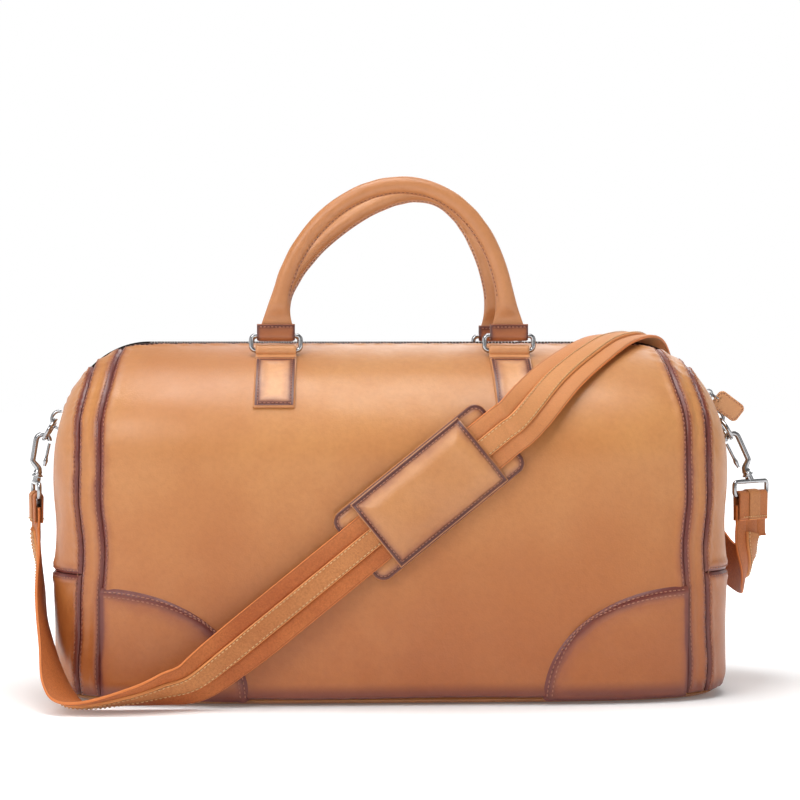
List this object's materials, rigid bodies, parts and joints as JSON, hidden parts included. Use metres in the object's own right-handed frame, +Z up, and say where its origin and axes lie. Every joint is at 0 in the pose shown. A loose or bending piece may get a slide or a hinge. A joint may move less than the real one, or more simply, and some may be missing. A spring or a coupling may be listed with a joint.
{
  "type": "weekender bag",
  "caption": "Leather duffel for a weekend's luggage, with a top zip, two rolled handles on rings, stitched corner patches and a clip-on shoulder strap with a sliding pad.",
  "frame": {"origin": "middle of the flat base, on the floor", "axes": "+X along the bag to its right end, +Y to the rear, +Z up; the front faces -Y"},
  "size_m": [0.5686, 0.2816, 0.384],
  "materials": {
    "tan_leather": "satin",
    "strap_leather": "satin",
    "strip_leather": "satin",
    "chrome": "polished",
    "zip_tape": "matte",
    "lining_cloth": "matte",
    "board": "matte"
  },
  "bodies": {
    "root": {"front_panel": "tan_leather", "rear_panel": "tan_leather", "front_band_left": "tan_leather", "front_band_right": "tan_leather", "rear_band_left": "tan_leather", "rear_band_right": "tan_leather", "end_panel_left": "tan_leather", "end_panel_right": "tan_leather", "end_lower_left": "tan_leather", "end_lower_right": "tan_leather", "front_corner_left": "tan_leather", "front_corner_right": "tan_leather", "rear_corner_left": "tan_leather", "rear_corner_right": "tan_leather", "base_panel": "tan_leather", "lining": "lining_cloth", "base_board": "board", "inner_pocket": "lining_cloth", "zip_tape_front": "zip_tape", "zip_tape_rear": "zip_tape", "zip_chain": "chrome", "handle_tab_front_left": "tan_leather", "handle_tab_front_right": "tan_leather", "handle_tab_rear_left": "tan_leather", "handle_tab_rear_right": "tan_leather", "shoulder_strap": "strap_leather", "strap_centre_strip": "strip_leather", "staple_left": "chrome", "strap_eye_left": "chrome", "strap_fold_left": "strap_leather", "staple_right": "chrome", "strap_eye_right": "chrome", "strap_fold_right": "strap_leather"},
    "front_rings": {"handle_ring_front_left": "chrome", "handle_ring_front_right": "chrome"},
    "front_handle": {"handle_grip_front": "tan_leather", "handle_end_front_left": "tan_leather", "handle_end_front_right": "tan_leather"},
    "rear_rings": {"handle_ring_rear_left": "chrome", "handle_ring_rear_right": "chrome"},
    "rear_handle": {"handle_grip_rear": "tan_leather", "handle_end_rear_left": "tan_leather", "handle_end_rear_right": "tan_leather"},
    "zip_slider": {"zip_slider": "chrome", "zip_bail": "chrome"},
    "zip_pull": {"zip_pull_ring": "chrome", "zip_pull_tab": "tan_leather"},
    "end_ring_left": {"end_ring_left": "chrome"},
    "snap_hook_left": {"snap_hook_left": "chrome"},
    "snap_gate_left": {"snap_gate_left": "chrome"},
    "end_ring_right": {"end_ring_right": "chrome"},
    "snap_hook_right": {"snap_hook_right": "chrome"},
    "snap_gate_right": {"snap_gate_right": "chrome"},
    "strap_pad": {"shoulder_pad": "tan_leather", "pad_sleeve": "tan_leather"}
  },
  "joints": [
    {"name": "front_rings_swing", "type": "hinge", "parent": "root", "child": "front_rings", "pos_m": [0, -0.054, 0.2552], "axis": [1, 0, 0], "range_deg": [-14, 60]},
    {"name": "front_handle_swing", "type": "hinge", "parent": "front_rings", "child": "front_handle", "pos_m": [0, -0.054, 0.2665], "axis": [1, 0, 0], "range_deg": [-6, 40]},
    {"name": "rear_rings_swing", "type": "hinge", "parent": "root", "child": "rear_rings", "pos_m": [0, 0.054, 0.2552], "axis": [-1, 0, 0], "range_deg": [-14, 60]},
    {"name": "rear_handle_swing", "type": "hinge", "parent": "rear_rings", "child": "rear_handle", "pos_m": [0, 0.054, 0.2665], "axis": [-1, 0, 0], "range_deg": [-6, 40]},
    {"name": "zip_slider_travel", "type": "hinge", "parent": "root", "child": "zip_slider", "pos_m": [0.16769, 0, 0.18494], "axis": [0, -1, 0], "range_deg": [0, 20]},
    {"name": "zip_pull_swing", "type": "hinge", "parent": "zip_slider", "child": "zip_pull", "pos_m": [0.24544, 0, 0.22282], "axis": [0, 1, 0], "range_deg": [-110, 0]},
    {"name": "end_ring_left_swing", "type": "hinge", "parent": "root", "child": "end_ring_left", "pos_m": [-0.25273, 0, 0.203], "axis": [0, 1, 0], "range_deg": [-1.5, 1.5]},
    {"name": "snap_hook_left_swivel", "type": "hinge", "parent": "root", "child": "snap_hook_left", "pos_m": [-0.2675, 0, 0.15525], "axis": [0.1598, 0, 0.9871], "range_deg": [-5, 5]},
    {"name": "snap_gate_left_open", "type": "hinge", "parent": "snap_hook_left", "child": "snap_gate_left", "pos_m": [-0.2612, 0, 0.1679], "axis": [0, -1, 0], "range_deg": [0, 14], "stiffness_Nm_per_rad": 0.02},
    {"name": "end_ring_right_swing", "type": "hinge", "parent": "root", "child": "end_ring_right", "pos_m": [0.25273, 0, 0.203], "axis": [0, 1, 0], "range_deg": [-1.5, 1.5]},
    {"name": "snap_hook_right_swivel", "type": "hinge", "parent": "root", "child": "snap_hook_right", "pos_m": [0.277, 0, 0.15525], "axis": [-0.4134, 0, 0.9106], "range_deg": [-5, 5]},
    {"name": "snap_gate_right_open", "type": "hinge", "parent": "snap_hook_right", "child": "snap_gate_right", "pos_m": [0.2676, 0, 0.16581], "axis": [0, 1, 0], "range_deg": [0, 14], "stiffness_Nm_per_rad": 0.02},
    {"name": "strap_pad_slide", "type": "slide", "parent": "root", "child": "strap_pad", "axis": [0.7769, 0.0252, 0.6291], "range_m": [-0.045, 0.008]}
  ]
}
